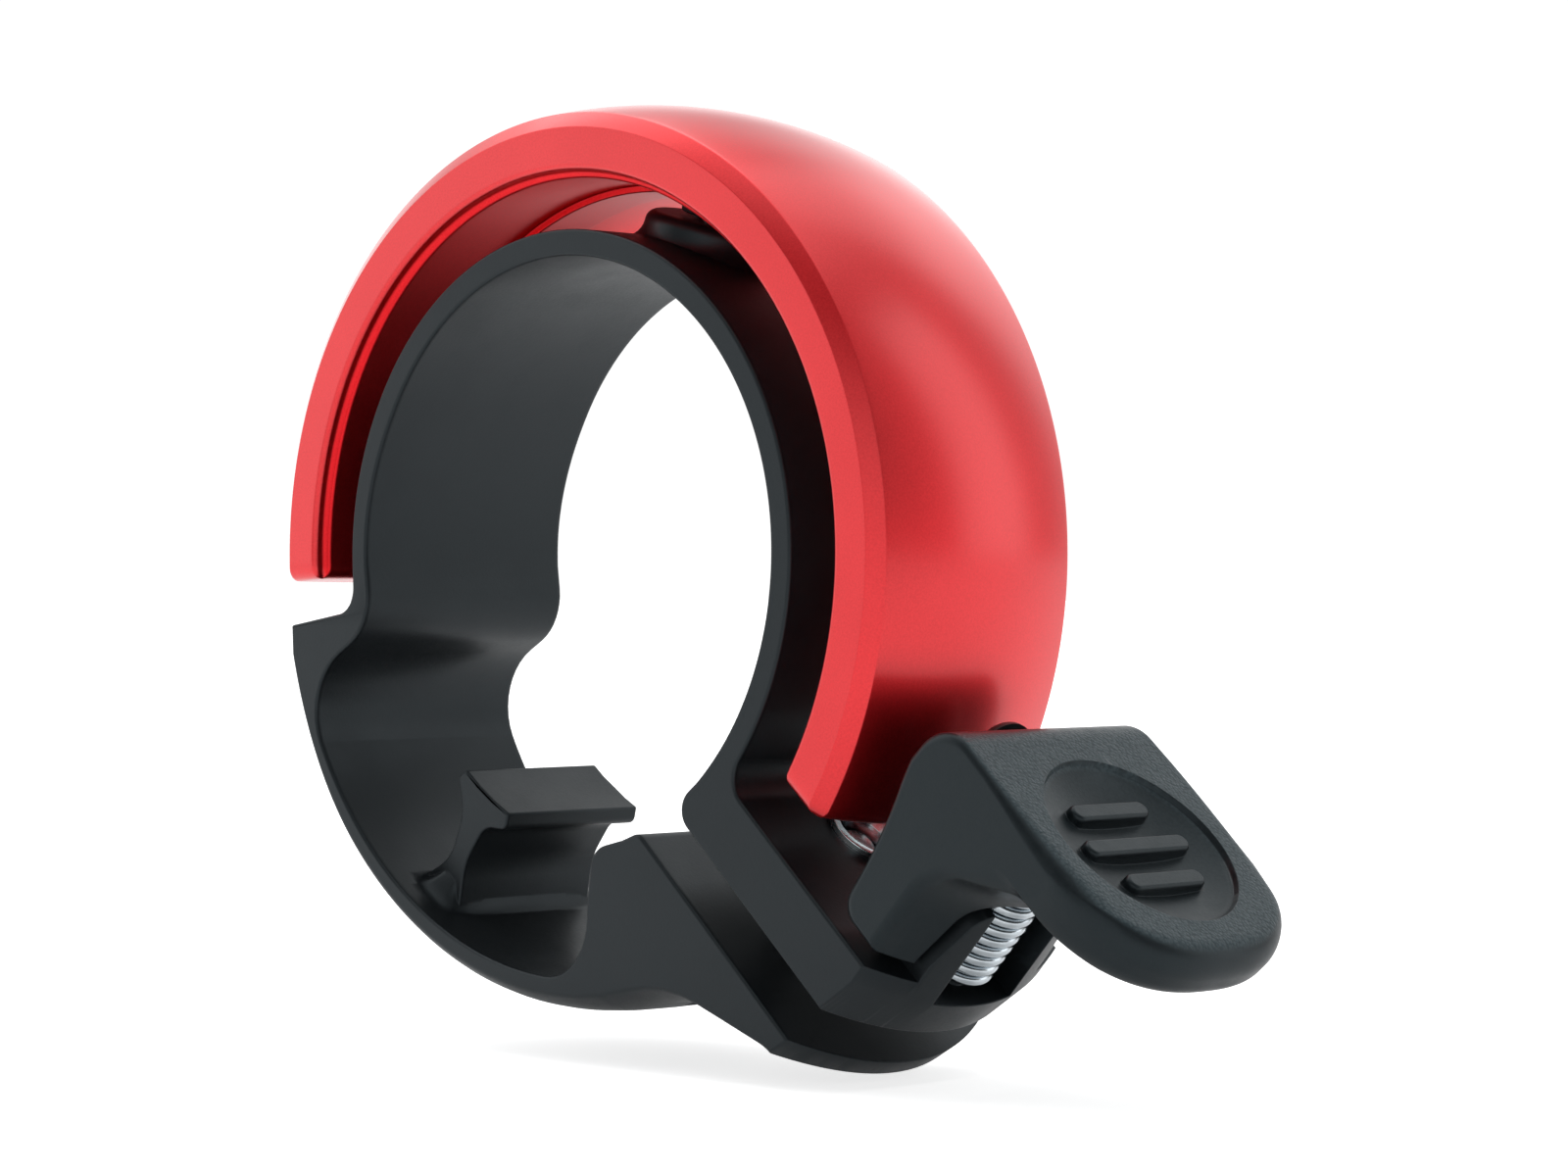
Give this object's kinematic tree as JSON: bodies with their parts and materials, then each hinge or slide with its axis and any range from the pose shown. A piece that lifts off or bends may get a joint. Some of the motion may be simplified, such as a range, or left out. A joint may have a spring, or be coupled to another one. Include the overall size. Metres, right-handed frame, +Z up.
{
  "type": "bicycle bell",
  "caption": "Ring-shaped bicycle bell that wraps round a handlebar: a metal arc bell on a split moulded clamp band, with a spring-mounted thumb lever that strikes it.",
  "frame": {"origin": "centre of the whole bell's bounding box; the handlebar's axis runs through (-7.738, y, 1.290) mm", "axes": "+Y along the handlebar, +Z up, +X towards the thumb lever"},
  "size_m": [0.0646, 0.0152, 0.0518],
  "materials": {
    "black_nylon": "satin, fine spark-eroded grain",
    "black_grip": "matte, pebbled thumb surface",
    "red_anodised": "bead-blasted, red anodised, satin",
    "bright_steel": "bright zinc plated",
    "zinc_spring": "bright drawn wire",
    "black_rubber": "matte",
    "black_acetal": "smooth satin"
  },
  "bodies": {
    "bracket": {"mounting_bracket": "black_nylon", "bell_shell": "red_anodised", "bell_mount_screw": "bright_steel", "bell_isolator_washer": "black_rubber", "clamp_nut_insert": "bright_steel", "clamp_screw_washer": "bright_steel", "striker_spring": "zinc_spring"},
    "clamp_screw": {"clamp_screw": "bright_steel"},
    "striker": {"striker_lever": "black_grip", "striker_hammer_tip": "black_acetal"}
  },
  "joints": [
    {"name": "lever_press", "type": "hinge", "parent": "bracket", "child": "striker", "pos_m": [0.01549, 0, -0.01835], "axis": [0, 1, 0], "range_deg": [-10, 12], "stiffness_Nm_per_rad": 0.02, "deforming": ["striker_spring"]},
    {"name": "clamp_screw_turn", "type": "hinge", "parent": "bracket", "child": "clamp_screw", "pos_m": [0.00829, 0, -0.01319], "axis": [0.6704, 0, 0.742], "continuous": true}
  ]
}
